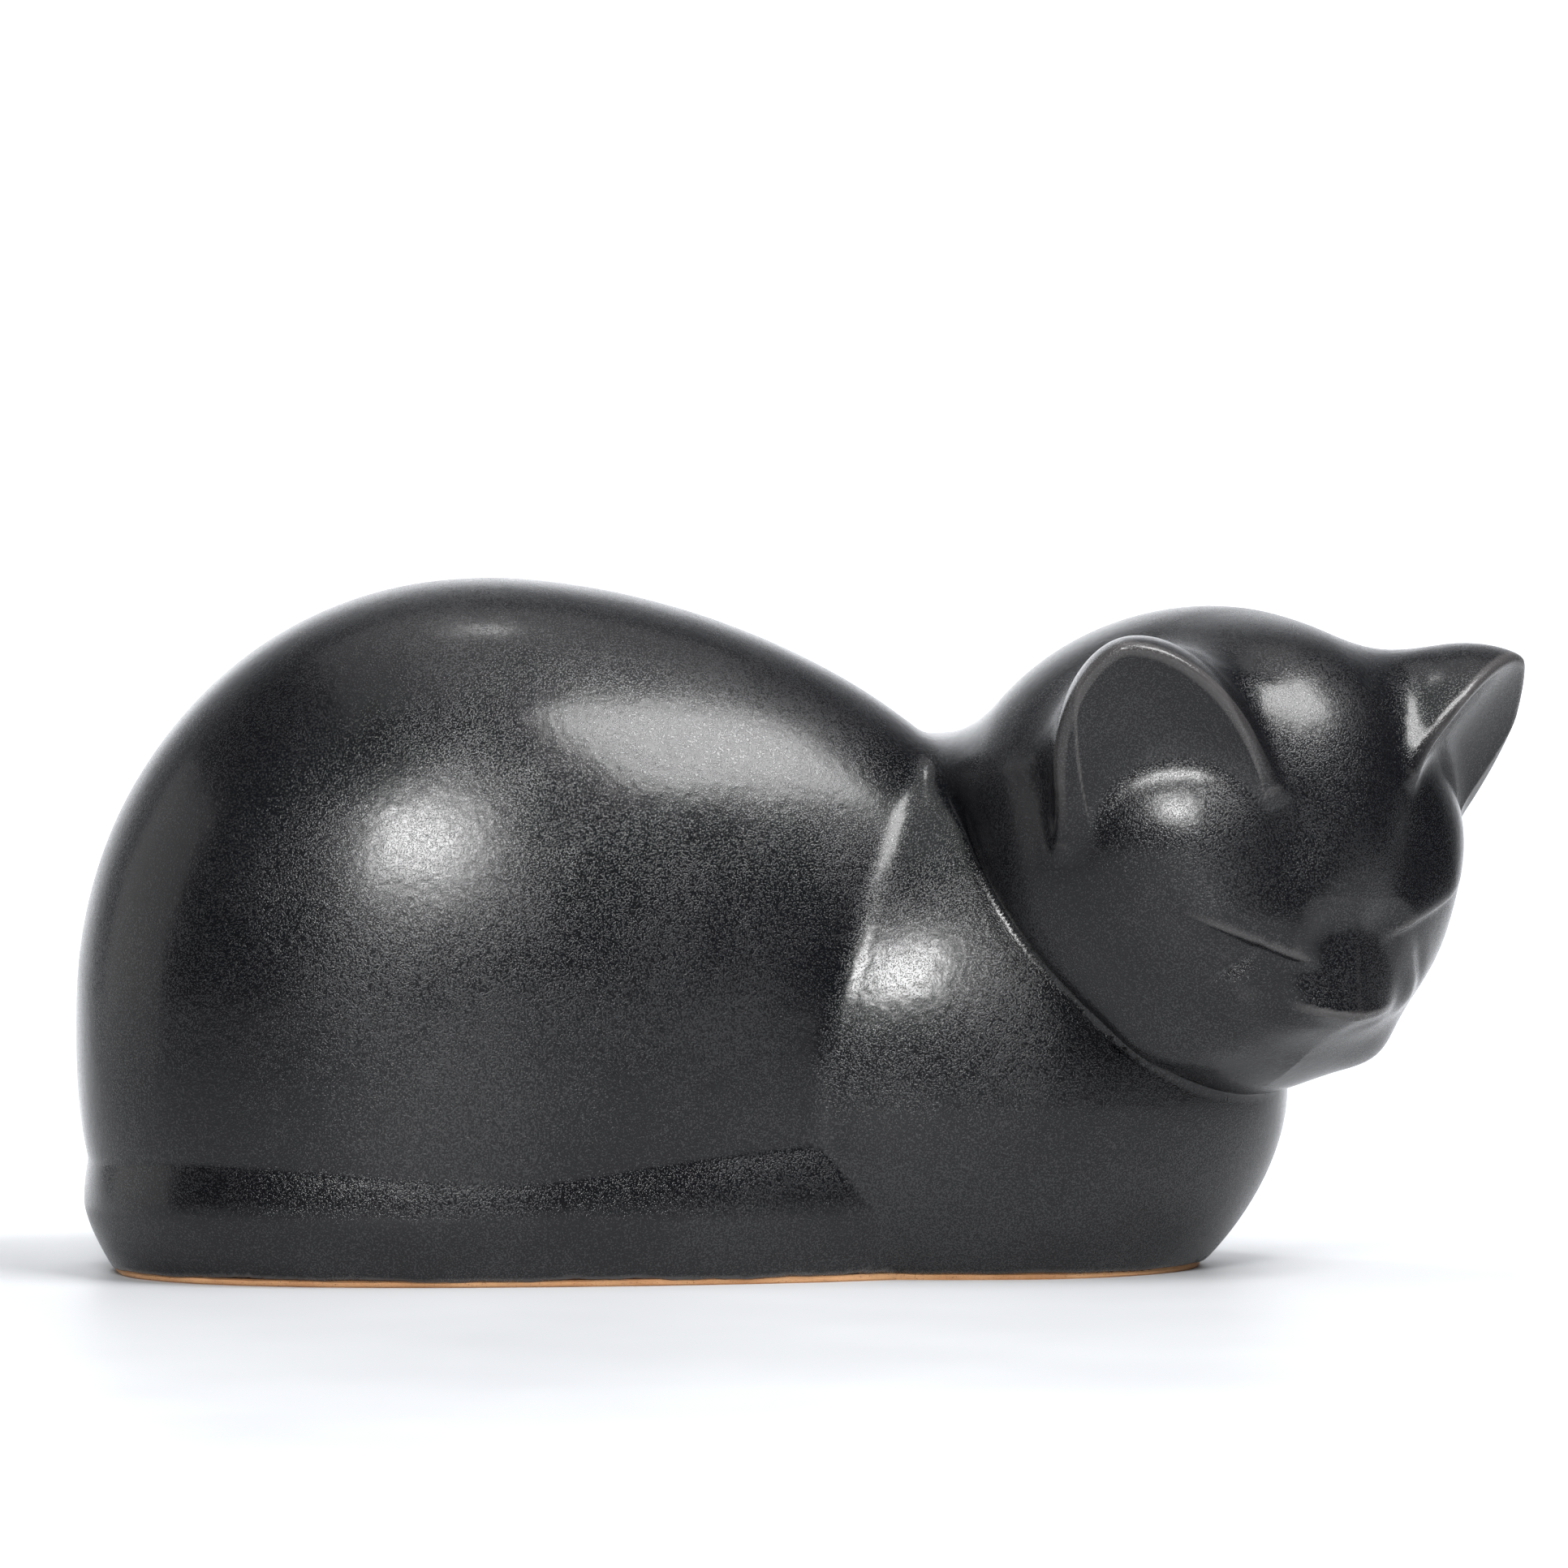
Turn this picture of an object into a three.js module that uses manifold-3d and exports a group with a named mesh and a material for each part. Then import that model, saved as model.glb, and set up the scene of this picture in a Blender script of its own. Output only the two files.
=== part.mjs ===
// A sleeping cat in stoneware, made hollow in five pieces that are luted together and fired:
// body, head, two ears and the slab that closes the base.
// Millimetres, +Z up. The cat lies along X with its face at +X, its head turned towards -Y.
// The origin is the middle of the foot, on the surface that the cat rests on.
import * as THREE from 'three';
import { mergeVertices } from 'three/addons/utils/BufferGeometryUtils.js';
import Module from 'manifold-3d';

const wasm = await Module();
wasm.setup();

// ---- driving dimensions -------------------------------------------------------------------

const WALL = 7;                 // thickness of the body's wall
const JOINT_GAP = 0.3;          // slip joint between two pieces
const FOOT_HEIGHT = 1.2;        // bare clay edge under the glaze
const SLAB_HEIGHT = 7;          // top of the slab inside the body
const FOOT_INSET = 0.6;         // the glaze stands this far proud of the foot
const SLAB_VENT = { x: -45, y: 0, radius: 14 };
const UNDER_FOOT = -8;          // forms are closed off this far below the table
const OVER_ALL = 200;           // a height above everything

// Each form bulges from its centre by its own reach to the rear, front, side, top and bottom.
// plan, side and height are the powers that make the outline fuller (over 2) or more pointed.
const FLANK = { x: -37, z: 54, rear: 86.6, front: 121, half: 60, up: 89.6, down: 74,
  plan: [2.12, 1.74], side: 2.5, height: [2.0, 3.2] };
const CHEST = { x: 70, z: 36, rear: 84, front: 59, half: 57.5, up: 76, down: 54.5,
  plan: [2.3, 1.75], side: 2.3, height: [2.1, 1.75] };
const TAIL = { x: -37, z: 0, rear: 85, front: 119, half: 58.7, up: 1e4, down: 1e4,
  plan: [2.3, 2.2], side: 2.5, height: [2, 2] };
const TAIL_BELLY = 14.5;        // height at which the tail band is widest
const TAIL_TOP = 36;
const TUCK_UNDER = 6.8;         // how far the band draws in at the foot
const TUCK_OVER = 1.6;          // how far it draws in TUCK_RISE above its belly
const TUCK_RISE = 12;
const TUCK_POWER = 1.5;         // the tuck at the foot steepens by this power
const TUCK_LIMIT = 1.3;         // and stops growing this many bellies down
const TAIL_ROUND = 6;           // rounding of the band's top edge
const CREASE = 2;               // glaze fills a crease to about this width
const BAND_CREASE = 0.4;

const HEAD = new THREE.Vector3(108.6, -30, 86.6);
const HEAD_RADIUS = 51;
const SKULL_BACK = 4.2;         // the skull reaches this much further to the rear
const SKULL_POWER = 2.2;        // and does so mostly at the very back
const HEAD_HOLLOW = 42;
const HEAD_TURN = { yaw: -61.2, pitch: -11, roll: -1.4 };
const COLLAR = new THREE.Vector3(0.6, -0.53, 0.6).normalize();
const COLLAR_BACK = 22;         // the jaw rim lies this far behind the head's centre
const NECK_BACK = 16;           // the neck stub ends this far behind it, inside the head
const NECK_ROUND = 3;
const NECK_OPEN = 4;            // the hollow runs this much past the stub's end, so the neck is open
const JAW_ROUND = 4;

// The face is modelled on the ball: across from its middle line either way, and up from its centre.
// Swellings stand out by height and hollows sink by it; wide and tall are how far each spreads.
const FACE_MOUNDS = [
  { part: 'forehead', height: 3.2, across: 0, wide: 30, up: 45, tall: 15 },
  { part: 'temple', height: 1.3, across: 38, wide: 14, up: 12, tall: 12 },
  { part: 'brow hollow', height: -2.2, across: 16, wide: 8, up: 13, tall: 11 },
  { part: 'cheekbone', height: 0.3, across: 38, wide: 13, up: -12, tall: 10 },
  { part: 'lower lid', height: 1.3, across: 20.5, wide: 4.5, up: -19, tall: 4 },
  { part: 'muzzle pad', height: 4.5, across: 7, wide: 11, up: -21, tall: 7.5 },
  { part: 'jowl', height: 2.8, across: 25, wide: 10, up: -34, tall: 6.5 },
];
const CHIN_KEEL = { height: 0.6, wide: 4, up: -34, tall: 7 };
const EYE = { across: 20, up: -6.1, slant: 0.31, farEyeLift: 3.4, lid: 1.3, swell: 0.5,
  inner: [4, 14], outer: [26, 39], lidEdge: 1.1, fadeUp: 9, fadeDown: 7, liftWidth: 8 };
const LEAST_FACING = 0.2;       // a flat facet is not followed past where it turns this far away
const FACE_EDGE = 30;           // the modelling fades in over this much forward of the ears
// The nose has two flat facets that meet at a ridge, and an underside that slopes back to the chin.
const NOSE = { ridge: 49.24, lean: 0.3, facet: 0.36, underside: 48, halfWidth: 5, sideFade: 10,
  under: { forward: 0.513, down: 0.858, across: 0.25 }, tip: 1.6, blunt: 0.028,
  browFade: [-8, 2], topFade: [0, 6], mouthFade: [-24, -19], carve: 6, proud: 2, foreFade: 10 };

// Ear corners in the head's own frame: across to the cat's left, up the face, forward.
const EAR_TIP = new THREE.Vector3(53, 48.6, 28.5);
const EAR_OUTER = new THREE.Vector3(53, 15, 14.6);
const EAR_INNER = { right: new THREE.Vector3(20, 24.5, 39.5), left: new THREE.Vector3(15, 27, 39) };
const EAR_DEPTH = 27;
const EAR_ROOT = 6;             // the ear runs this far down into the head
const EAR_OUT = 2.4;            // its face stands this far in front of the three corners
const EAR_DISH = 4.4;
const EAR_TAPER = 2.3;          // power by which the ear narrows towards its tip
const EAR_OVAL = 1.6;           // power of its rounding across
const BOWL_TALL = 0.85;         // the dish runs up the ear by this share
const BOWL_RIM = 1.5;           // and stops this far inside its edge
const RIM_ROUND = 5;
const RIM_SHIFT = 2;            // the rim is this much thicker on the outer side

// How finely each skin is divided, and where the ball that makes it starts from.
const DETAIL = { body: 12, hollow: 8, head: 14, ear: 9, vent: 32, ballAround: 28, ballDown: 16 };
const BODY_START = { centre: new THREE.Vector3(15, 0, 30), stretch: new THREE.Vector3(1.7, 1, 1) };
const HEAD_STRETCH = new THREE.Vector3(1, 1.5, 1);
const EAR_START = { rise: 8, back: 10 };
const FARTHEST = 260;           // no surface is further than this from where its ball starts
const HALVINGS = 36;

// ---- blending -----------------------------------------------------------------------------

function join(a, b, width) {
  const near = Math.max(width - Math.abs(a - b), 0) / width;
  return Math.min(a, b) - near * near * width / 4;
}

function trim(a, b, width) {
  return -join(-a, -b, width);
}

function ease(from, to, value) {
  const t = Math.min(Math.max((value - from) / (to - from), 0), 1);
  return t * t * (3 - 2 * t);
}

function mound(u, v) {
  return Math.exp(-(u * u + v * v));
}

// ---- forms: each gives the distance outside its surface, negative inside --------------------

function bulge(form, x, y, z) {
  const front = x > form.x;
  const above = z > form.z;
  const reach = [front ? form.front : form.rear, form.half, above ? form.up : form.down];
  const power = [form.plan[front ? 1 : 0], form.side, form.height[above ? 0 : 1]];
  const part = [x - form.x, y, z - form.z].map((step, i) => Math.abs(step) / reach[i] + 1e-6);
  const level = part[0] ** power[0] + part[1] ** power[1] + part[2] ** power[2];
  const slope = Math.hypot(...part.map((p, i) => power[i] * p ** (power[i] - 1) / reach[i]));
  return (level - 1) / Math.max(slope, 0.6 / form.half);
}

function tailBand(x, y, z) {
  const low = Math.min(Math.max((TAIL_BELLY - z) / TAIL_BELLY, 0), TUCK_LIMIT);
  const high = Math.max(z - TAIL_BELLY, 0) / TUCK_RISE;
  const inset = TUCK_UNDER * low ** TUCK_POWER + TUCK_OVER * high ** 2;
  const lowSlope = TUCK_UNDER * TUCK_POWER / TAIL_BELLY * low ** (TUCK_POWER - 1);
  const highSlope = TUCK_OVER * 2 / TUCK_RISE * high;
  const side = (bulge(TAIL, x, y, 0) + inset) / Math.hypot(1, lowSlope, highSlope);
  return trim(side, z - TAIL_TOP, TAIL_ROUND);
}

function collarHeight(x, y, z) {
  return (x - HEAD.x) * COLLAR.x + (y - HEAD.y) * COLLAR.y + (z - HEAD.z) * COLLAR.z;
}

function bodyForm(x, y, z) {
  const torso = join(bulge(FLANK, x, y, z), bulge(CHEST, x, y, z), CREASE);
  return join(torso, tailBand(x, y, z), BAND_CREASE);
}

// The head's own axes: left is the cat's left, up runs up the face, forward is out of the nose.
function headAxes() {
  const { degToRad } = THREE.MathUtils;
  const yaw = degToRad(HEAD_TURN.yaw);
  const pitch = degToRad(HEAD_TURN.pitch);
  const level = Math.cos(pitch);
  const forward = new THREE.Vector3(Math.cos(yaw) * level, Math.sin(yaw) * level, Math.sin(pitch));
  const left = new THREE.Vector3(-Math.sin(yaw), Math.cos(yaw), 0);
  const up = forward.clone().cross(left);
  const roll = degToRad(HEAD_TURN.roll);
  left.applyAxisAngle(forward, roll);
  up.applyAxisAngle(forward, roll);
  return { left, up, forward };
}

const headFrame = headAxes();

function toHead(x, y, z) {
  const point = new THREE.Vector3(x, y, z).sub(HEAD);
  return [point.dot(headFrame.left), point.dot(headFrame.up), point.dot(headFrame.forward)];
}

// The closed lids of both eyes. side is to the cat's left, whose eye is set a little higher.
function eyelid(side, up) {
  const across = Math.abs(side);
  const lift = EYE.farEyeLift * Math.tanh(side / EYE.liftWidth);
  const slit = EYE.up + EYE.slant * (across - EYE.across) + lift;
  const above = up - slit;
  const length = ease(...EYE.inner, across) * (1 - ease(...EYE.outer, across));
  const fade = above > 0 ? Math.exp(-((above / EYE.fadeUp) ** 2)) : Math.exp(above / EYE.fadeDown);
  return length * (EYE.lid * Math.tanh(above / EYE.lidEdge) + EYE.swell) * fade;
}

// Height of the face's modelling above the plain ball.
function faceRelief(side, up) {
  const across = Math.abs(side);
  const keel = CHIN_KEEL.height * Math.exp(-across / CHIN_KEEL.wide);
  let relief = eyelid(side, up) + keel * mound(0, (up - CHIN_KEEL.up) / CHIN_KEEL.tall);
  for (const swelling of FACE_MOUNDS) {
    const u = (across - swelling.across) / swelling.wide;
    const v = (up - swelling.up) / swelling.tall;
    relief += swelling.height * mound(u, v);
  }
  return relief;
}

// Distance from the head's centre, along a unit way, to the nose's two facets and its underside.
function snoutReach(side, up, forward) {
  const across = Math.hypot(side, NOSE.blunt);
  const facing = forward + NOSE.lean * up + NOSE.facet * across;
  const under = NOSE.under.forward * forward - NOSE.under.down * up + NOSE.under.across * across;
  const facets = NOSE.ridge / Math.max(facing, LEAST_FACING);
  const underside = NOSE.underside / Math.max(under, LEAST_FACING);
  return join(facets, underside, NOSE.tip);
}

// The ball with its face: the nose is cut down to its facets below the brow and stands out below that.
function headForm(x, y, z) {
  const [side, up, forward] = toHead(x, y, z);
  const radius = Math.hypot(side, up, forward) + 1e-6;
  const across = side * HEAD_RADIUS / radius;
  const level = up * HEAD_RADIUS / radius;
  const rearward = Math.max(HEAD.x - x, 0) / radius;
  const skull = HEAD_RADIUS + SKULL_BACK * rearward ** SKULL_POWER;
  const plain = skull + faceRelief(across, level) * ease(0, FACE_EDGE, forward);
  const snout = snoutReach(side / radius, up / radius, forward / radius);
  const noseEdge = NOSE.halfWidth + NOSE.sideFade;
  const besideNose = 1 - ease(NOSE.halfWidth, noseEdge, Math.abs(across));
  const belowBrow = (1 - ease(...NOSE.browFade, level)) * ease(...NOSE.mouthFade, level);
  const carved = plain + belowBrow * join(snout - plain, 0, NOSE.carve);
  const fore = ease(0, NOSE.foreFade, forward);
  const noseShare = besideNose * (1 - ease(...NOSE.topFade, level)) * fore;
  const reach = plain + noseShare * (trim(carved, snout, NOSE.proud) - plain);
  const evenSlope = 0.9;
  return trim((radius - reach) * evenSlope, -collarHeight(x, y, z) - COLLAR_BACK, JAW_ROUND);
}

// An ear stands on the line between its two lower corners and leans out to its tip.
function earAxes(inner) {
  const root = EAR_OUTER.clone().add(inner).multiplyScalar(0.5);
  const rise = EAR_TIP.clone().sub(root);
  const height = rise.length();
  rise.normalize();
  const across = EAR_OUTER.clone().sub(inner);
  const halfWidth = across.length() / 2;
  across.addScaledVector(rise, -across.dot(rise)).normalize();
  const face = rise.clone().cross(across);
  if (face.z < 0) {
    face.negate();
  }
  return { root, rise, across, face, height, halfWidth };
}

// out is the distance from the head's middle line on the ear's own side.
function earForm(earFrame, out, up, forward) {
  const point = new THREE.Vector3(out, up, forward).sub(earFrame.root);
  const across = point.dot(earFrame.across);
  const rise = point.dot(earFrame.rise) + EAR_ROOT;
  const depth = point.dot(earFrame.face);
  const full = earFrame.height + EAR_ROOT - 1;
  const width = earFrame.halfWidth + 0.5;
  const tall = Math.max(rise, 0) / full;
  const round = Math.hypot(across / width, depth / EAR_DEPTH) + 1e-6;
  const roundSlope = Math.hypot(across / width ** 2, depth / EAR_DEPTH ** 2) / round;
  const riseSlope = EAR_TAPER * tall ** (EAR_TAPER - 1) / full;
  const slope = Math.hypot(riseSlope, EAR_OVAL * round ** (EAR_OVAL - 1) * roundSlope);
  const leastSlope = 0.4 / EAR_DEPTH;
  const horn = (tall ** EAR_TAPER + round ** EAR_OVAL - 1) / Math.max(slope, leastSlope);
  const bowlWidth = earFrame.halfWidth - RIM_SHIFT - BOWL_RIM;
  const bowl = Math.hypot((across + RIM_SHIFT) / bowlWidth, BOWL_TALL * tall);
  const dish = EAR_DISH * Math.max(1 - bowl ** 2, 0);
  return trim(trim(horn, depth - EAR_OUT + dish, RIM_ROUND), -rise, 2);
}

// ---- solids -------------------------------------------------------------------------------

function toSolid(geometry) {
  const bare = geometry.clone();
  bare.deleteAttribute('normal');
  bare.deleteAttribute('uv');
  const merged = mergeVertices(bare, 1e-4);
  const vertProperties = new Float32Array(merged.attributes.position.array);
  const triVerts = new Uint32Array(merged.index.array);
  return new wasm.Manifold(new wasm.Mesh({ numProp: 3, vertProperties, triVerts }));
}

function toGeometry(solid) {
  const mesh = solid.getMesh();
  const geometry = new THREE.BufferGeometry();
  geometry.setAttribute('position', new THREE.BufferAttribute(mesh.vertProperties, 3));
  geometry.setIndex(new THREE.BufferAttribute(mesh.triVerts, 1));
  return geometry;
}

// Distance from the centre to the form's surface, by halving.
function reachTo(form, centre, way) {
  let inside = 0;
  let outside = FARTHEST;
  for (let round = 0; round < HALVINGS; round += 1) {
    const middle = (inside + outside) / 2;
    const point = centre.clone().addScaledVector(way, middle);
    if (form(point.x, point.y, point.z) < 0) {
      inside = middle;
    } else {
      outside = middle;
    }
  }
  return inside;
}

// A closed skin over a form: a ball of triangles, each corner moved out from the centre to the surface.
function wrap(form, centre, stretch, detail) {
  const ball = new THREE.IcosahedronGeometry(1, detail);
  const places = ball.attributes.position;
  for (let i = 0; i < places.count; i += 1) {
    const way = new THREE.Vector3().fromBufferAttribute(places, i).multiply(stretch).normalize();
    const point = centre.clone().addScaledVector(way, reachTo(form, centre, way));
    places.setXYZ(i, point.x, point.y, point.z);
  }
  return toSolid(ball);
}

function layer(from, to) {
  const box = new THREE.BoxGeometry(2 * FARTHEST, 2 * FARTHEST, to - from);
  box.translate(0, 0, (from + to) / 2);
  return toSolid(box);
}

function upright(hole, from, to) {
  const post = new THREE.CylinderGeometry(hole.radius, hole.radius, to - from, DETAIL.vent);
  post.rotateX(Math.PI / 2);
  post.translate(hole.x, hole.y, (from + to) / 2);
  return toSolid(post);
}

function largest(solid) {
  const pieces = solid.decompose();
  pieces.sort((a, b) => b.volume() - a.volume());
  return pieces[0];
}

// The body swelled outwards by grow, with its neck stub cut flat inside the head at neckEnd.
function bodyBlock(grow, detail, neckEnd = -NECK_BACK) {
  const form = (x, y, z) => {
    const necked = trim(bodyForm(x, y, z), collarHeight(x, y, z) - neckEnd, NECK_ROUND) - grow;
    return Math.max(necked, UNDER_FOOT - z);
  };
  return wrap(form, BODY_START.centre, BODY_START.stretch, detail);
}

function headBlock(grow) {
  const form = (x, y, z) => headForm(x, y, z) - grow;
  return wrap(form, HEAD, HEAD_STRETCH, DETAIL.head);
}

function bodyCasting() {
  const hollow = bodyBlock(-WALL, DETAIL.hollow, WALL + NECK_OPEN - NECK_BACK);
  const shell = bodyBlock(0, DETAIL.body).subtract(hollow);
  return largest(shell.intersect(layer(FOOT_HEIGHT + JOINT_GAP, OVER_ALL)));
}

function headCasting() {
  const hollow = new THREE.SphereGeometry(HEAD_HOLLOW, DETAIL.ballAround, DETAIL.ballDown);
  hollow.translate(HEAD.x, HEAD.y, HEAD.z);
  const shell = headBlock(0).subtract(toSolid(hollow));
  return largest(shell.subtract(bodyBlock(JOINT_GAP, DETAIL.body)));
}

function ear(inner, sign) {
  const earFrame = earAxes(inner);
  const form = (x, y, z) => {
    const [side, up, forward] = toHead(x, y, z);
    return earForm(earFrame, sign * side, up, forward);
  };
  const middle = earFrame.root.clone().addScaledVector(earFrame.rise, EAR_START.rise);
  middle.addScaledVector(earFrame.face, -EAR_START.back);
  const centre = HEAD.clone();
  centre.addScaledVector(headFrame.left, sign * middle.x);
  centre.addScaledVector(headFrame.up, middle.y);
  centre.addScaledVector(headFrame.forward, middle.z);
  const lobe = wrap(form, centre, new THREE.Vector3(1, 1, 1), DETAIL.ear);
  return largest(lobe.subtract(headBlock(JOINT_GAP)));
}

function baseSlab() {
  const foot = bodyBlock(-FOOT_INSET, DETAIL.body).intersect(layer(0, FOOT_HEIGHT));
  const inside = bodyBlock(-WALL - JOINT_GAP, DETAIL.hollow);
  const plug = inside.intersect(layer(FOOT_HEIGHT / 2, SLAB_HEIGHT));
  return foot.add(plug).subtract(upright(SLAB_VENT, UNDER_FOOT, SLAB_HEIGHT - UNDER_FOOT));
}

// ---- the cat ------------------------------------------------------------------------------

const glaze = { color: 0x2c2d31, roughness: 0.38, metalness: 0 };
const bareClay = { color: 0xb27a4c, roughness: 0.9, metalness: 0 };

function piece(name, solid, finish) {
  const geometry = toGeometry(solid);
  geometry.computeVertexNormals();
  const mesh = new THREE.Mesh(geometry, new THREE.MeshStandardMaterial(finish));
  mesh.name = name;
  return mesh;
}

const cat = new THREE.Group();
cat.add(piece('body_casting', bodyCasting(), glaze));
cat.add(piece('head_casting', headCasting(), glaze));
cat.add(piece('right_ear', ear(EAR_INNER.right, -1), glaze));
cat.add(piece('left_ear', ear(EAR_INNER.left, 1), glaze));
cat.add(piece('base_slab', baseSlab(), bareClay));

export default cat;
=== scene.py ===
"""Looks of the sleeping stoneware cat: glazed body, head and ears on a bare clay foot.

The forms are the CAD model's formulas, in millimetres, meshed finely here and blended where the glaze
fills the creases. They add a fold under each eye, a sharper ear rim and a slight unevenness of the wall.
Everything is placed in the frame's metres.
"""

import math

import bpy
import numpy as np
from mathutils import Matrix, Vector


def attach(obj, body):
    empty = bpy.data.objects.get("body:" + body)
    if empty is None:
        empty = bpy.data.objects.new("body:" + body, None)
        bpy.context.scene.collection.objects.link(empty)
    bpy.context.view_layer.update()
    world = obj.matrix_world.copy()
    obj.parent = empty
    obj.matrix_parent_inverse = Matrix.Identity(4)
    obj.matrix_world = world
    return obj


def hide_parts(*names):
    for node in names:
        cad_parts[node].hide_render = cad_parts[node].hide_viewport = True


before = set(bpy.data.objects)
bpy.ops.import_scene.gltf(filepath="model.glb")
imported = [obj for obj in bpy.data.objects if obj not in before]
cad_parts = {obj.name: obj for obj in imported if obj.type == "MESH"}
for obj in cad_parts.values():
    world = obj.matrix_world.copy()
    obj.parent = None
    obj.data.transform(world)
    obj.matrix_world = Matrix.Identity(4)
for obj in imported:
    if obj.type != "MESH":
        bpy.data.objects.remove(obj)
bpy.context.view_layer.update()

MM = 0.001

# ---- the cat's dimensions, in millimetres, as in the CAD model --------------------------------

WALL = 7.0
FOOT_HEIGHT = 1.2
SLAB_HEIGHT = 7.0
FOOT_INSET = 0.6
JOINT_GAP = 0.3
VENT = (-45.0, 0.0)
VENT_RADIUS = 14.0

FLANK = dict(x=-37, z=54, rear=86.6, front=121, half=60, up=89.6, down=74,
             plan=(2.12, 1.74), side=2.5, height=(2.0, 3.2))
CHEST = dict(x=70, z=36, rear=84, front=59, half=57.5, up=76, down=54.5,
             plan=(2.3, 1.75), side=2.3, height=(2.1, 1.75))
TAIL = dict(x=-37, z=0, rear=85.0, front=119, half=58.7, up=1e4, down=1e4,
            plan=(2.3, 2.2), side=2.5, height=(2, 2))
TAIL_BELLY = 14.5
TAIL_TOP = 36.0
TUCK_UNDER = 6.8
TUCK_OVER = 1.6
TUCK_RISE = 12
TUCK_POWER = 1.5
TUCK_LIMIT = 1.3
TAIL_ROUND = 6.0
CREASE = 2.0
BAND_CREASE = 0.4

HEAD = np.array([108.6, -30.0, 86.6])
HEAD_RADIUS = 51.0
SKULL_BACK = 4.2
SKULL_POWER = 2.2
HEAD_TURN = dict(yaw=-61.2, pitch=-11.0, roll=-1.4)
COLLAR = np.array([0.600, -0.530, 0.599])
COLLAR_BACK = 22.0
JAW_ROUND = 4.0
SEAM_SHIFT = 2.2          # the head's piece takes in the crease under the jaw

# Swellings and hollows of the face, on both sides of it: height, then the distance out from its
# middle line and the width, then the height up the face and the tallness.
FACE_MOUNDS = {
    "forehead": (3.2, 0, 30, 45, 15),
    "temple": (1.3, 38, 14, 12, 12),
    "brow_hollow": (-2.2, 16, 8, 13, 11),
    "cheekbone": (0.3, 38, 13, -12, 10),
    "lower_lid": (1.3, 20.5, 4.5, -19, 4),
    "muzzle_pad": (4.5, 7, 11, -21, 7.5),
    "jowl": (2.8, 25, 10, -34, 6.5),
}
EYE = dict(across=20, up=-6.1, slant=0.31, far_eye_lift=3.4, lift_width=8, inner=(4, 14), outer=(26, 39),
           lid=1.3, lid_edge=1.1, swell=0.5, fade_up=9, fade_down=7)
EYE_FOLD = dict(depth=0.8, across=24.5, slant=0.7, up=-14, wide=2.3, tall=5)
CHIN_KEEL = dict(height=0.6, wide=4, up=-34.0, tall=7)
FACE_EDGE = 30
NOSE_RIDGE = 49.24
NOSE_LEAN = 0.30
NOSE_FACET = 0.36
NOSE_UNDER = 48.0
NOSE_UNDER_WAY = (0.513, -0.858, 0.25)      # forward, up and across
NOSE_BLUNT = 0.028
NOSE_TIP_ROUND = 1.6
NOSE_SIDE_FADE = (5, 15)
NOSE_TOP_FADE = (0, 6)
NOSE_BROW_FADE = (-8, 2)
NOSE_MOUTH_FADE = (-24, -19)
NOSE_FORE_FADE = (0, 10)
NOSE_CARVE = 6
NOSE_PROUD = 2.0
LEAST_FACING = 0.2
EVEN_SLOPE = 0.9

EAR_TIP = np.array([53.0, 48.6, 28.5])
EAR_OUTER = np.array([53.0, 15.0, 14.6])
EAR_INNER = {"right": np.array([20.0, 24.5, 39.5]), "left": np.array([15.0, 27.0, 39.0])}
EAR_DEPTH = 27.0
EAR_ROOT = 6.0
EAR_DISH = 4.4
FACE_OUT = 2.4
RIM_ROUND = 2.5
RIM_SHIFT = 2.0
EAR_TAPER = 2.3
EAR_OVAL = 1.6
BOWL_TALL = 0.85
BOWL_RIM = 1.5


# ---- blending ---------------------------------------------------------------------------------

def join(a, b, width):
    near = np.maximum(width - np.abs(a - b), 0.0) / width
    return np.minimum(a, b) - near * near * width / 4


def trim(a, b, width):
    return -join(-a, -b, width)


def ease(low, high, value):
    t = np.clip((value - low) / (high - low), 0.0, 1.0)
    return t * t * (3 - 2 * t)


def mound(u, v):
    return np.exp(-(u * u + v * v))


# ---- forms: each gives the distance outside its surface, negative inside ----------------------

def bulge(form, x, y, z):
    step = (x - form["x"], y, z - form["z"])
    front, above = step[0] > 0, step[2] > 0
    reach = (np.where(front, form["front"], form["rear"]), form["half"],
             np.where(above, form["up"], form["down"]))
    power = (np.where(front, form["plan"][1], form["plan"][0]), form["side"],
             np.where(above, form["height"][0], form["height"][1]))
    level = -1.0
    slope = 0.0
    for s, r, p in zip(step, reach, power):
        part = np.abs(s) / r + 1e-6
        level = level + part ** p
        slope = slope + (p * part ** (p - 1) / r) ** 2
    return level / np.maximum(np.sqrt(slope), 0.6 / form["half"])


def tail_band(x, y, z):
    low = np.clip((TAIL_BELLY - z) / TAIL_BELLY, 0.0, TUCK_LIMIT)
    high = np.maximum(z - TAIL_BELLY, 0.0) / TUCK_RISE
    inset = TUCK_UNDER * low ** TUCK_POWER + TUCK_OVER * high ** 2
    low_slope = TUCK_UNDER * TUCK_POWER / TAIL_BELLY * low ** (TUCK_POWER - 1)
    high_slope = TUCK_OVER * 2 / TUCK_RISE * high
    side = (bulge(TAIL, x, y, 0 * z) + inset) / np.sqrt(1 + low_slope ** 2 + high_slope ** 2)
    return trim(side, z - TAIL_TOP, TAIL_ROUND)


def body_form(x, y, z):
    torso = join(bulge(FLANK, x, y, z), bulge(CHEST, x, y, z), CREASE)
    return join(torso, tail_band(x, y, z), BAND_CREASE)


def collar_height(x, y, z):
    return (x - HEAD[0]) * COLLAR[0] + (y - HEAD[1]) * COLLAR[1] + (z - HEAD[2]) * COLLAR[2]


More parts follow.
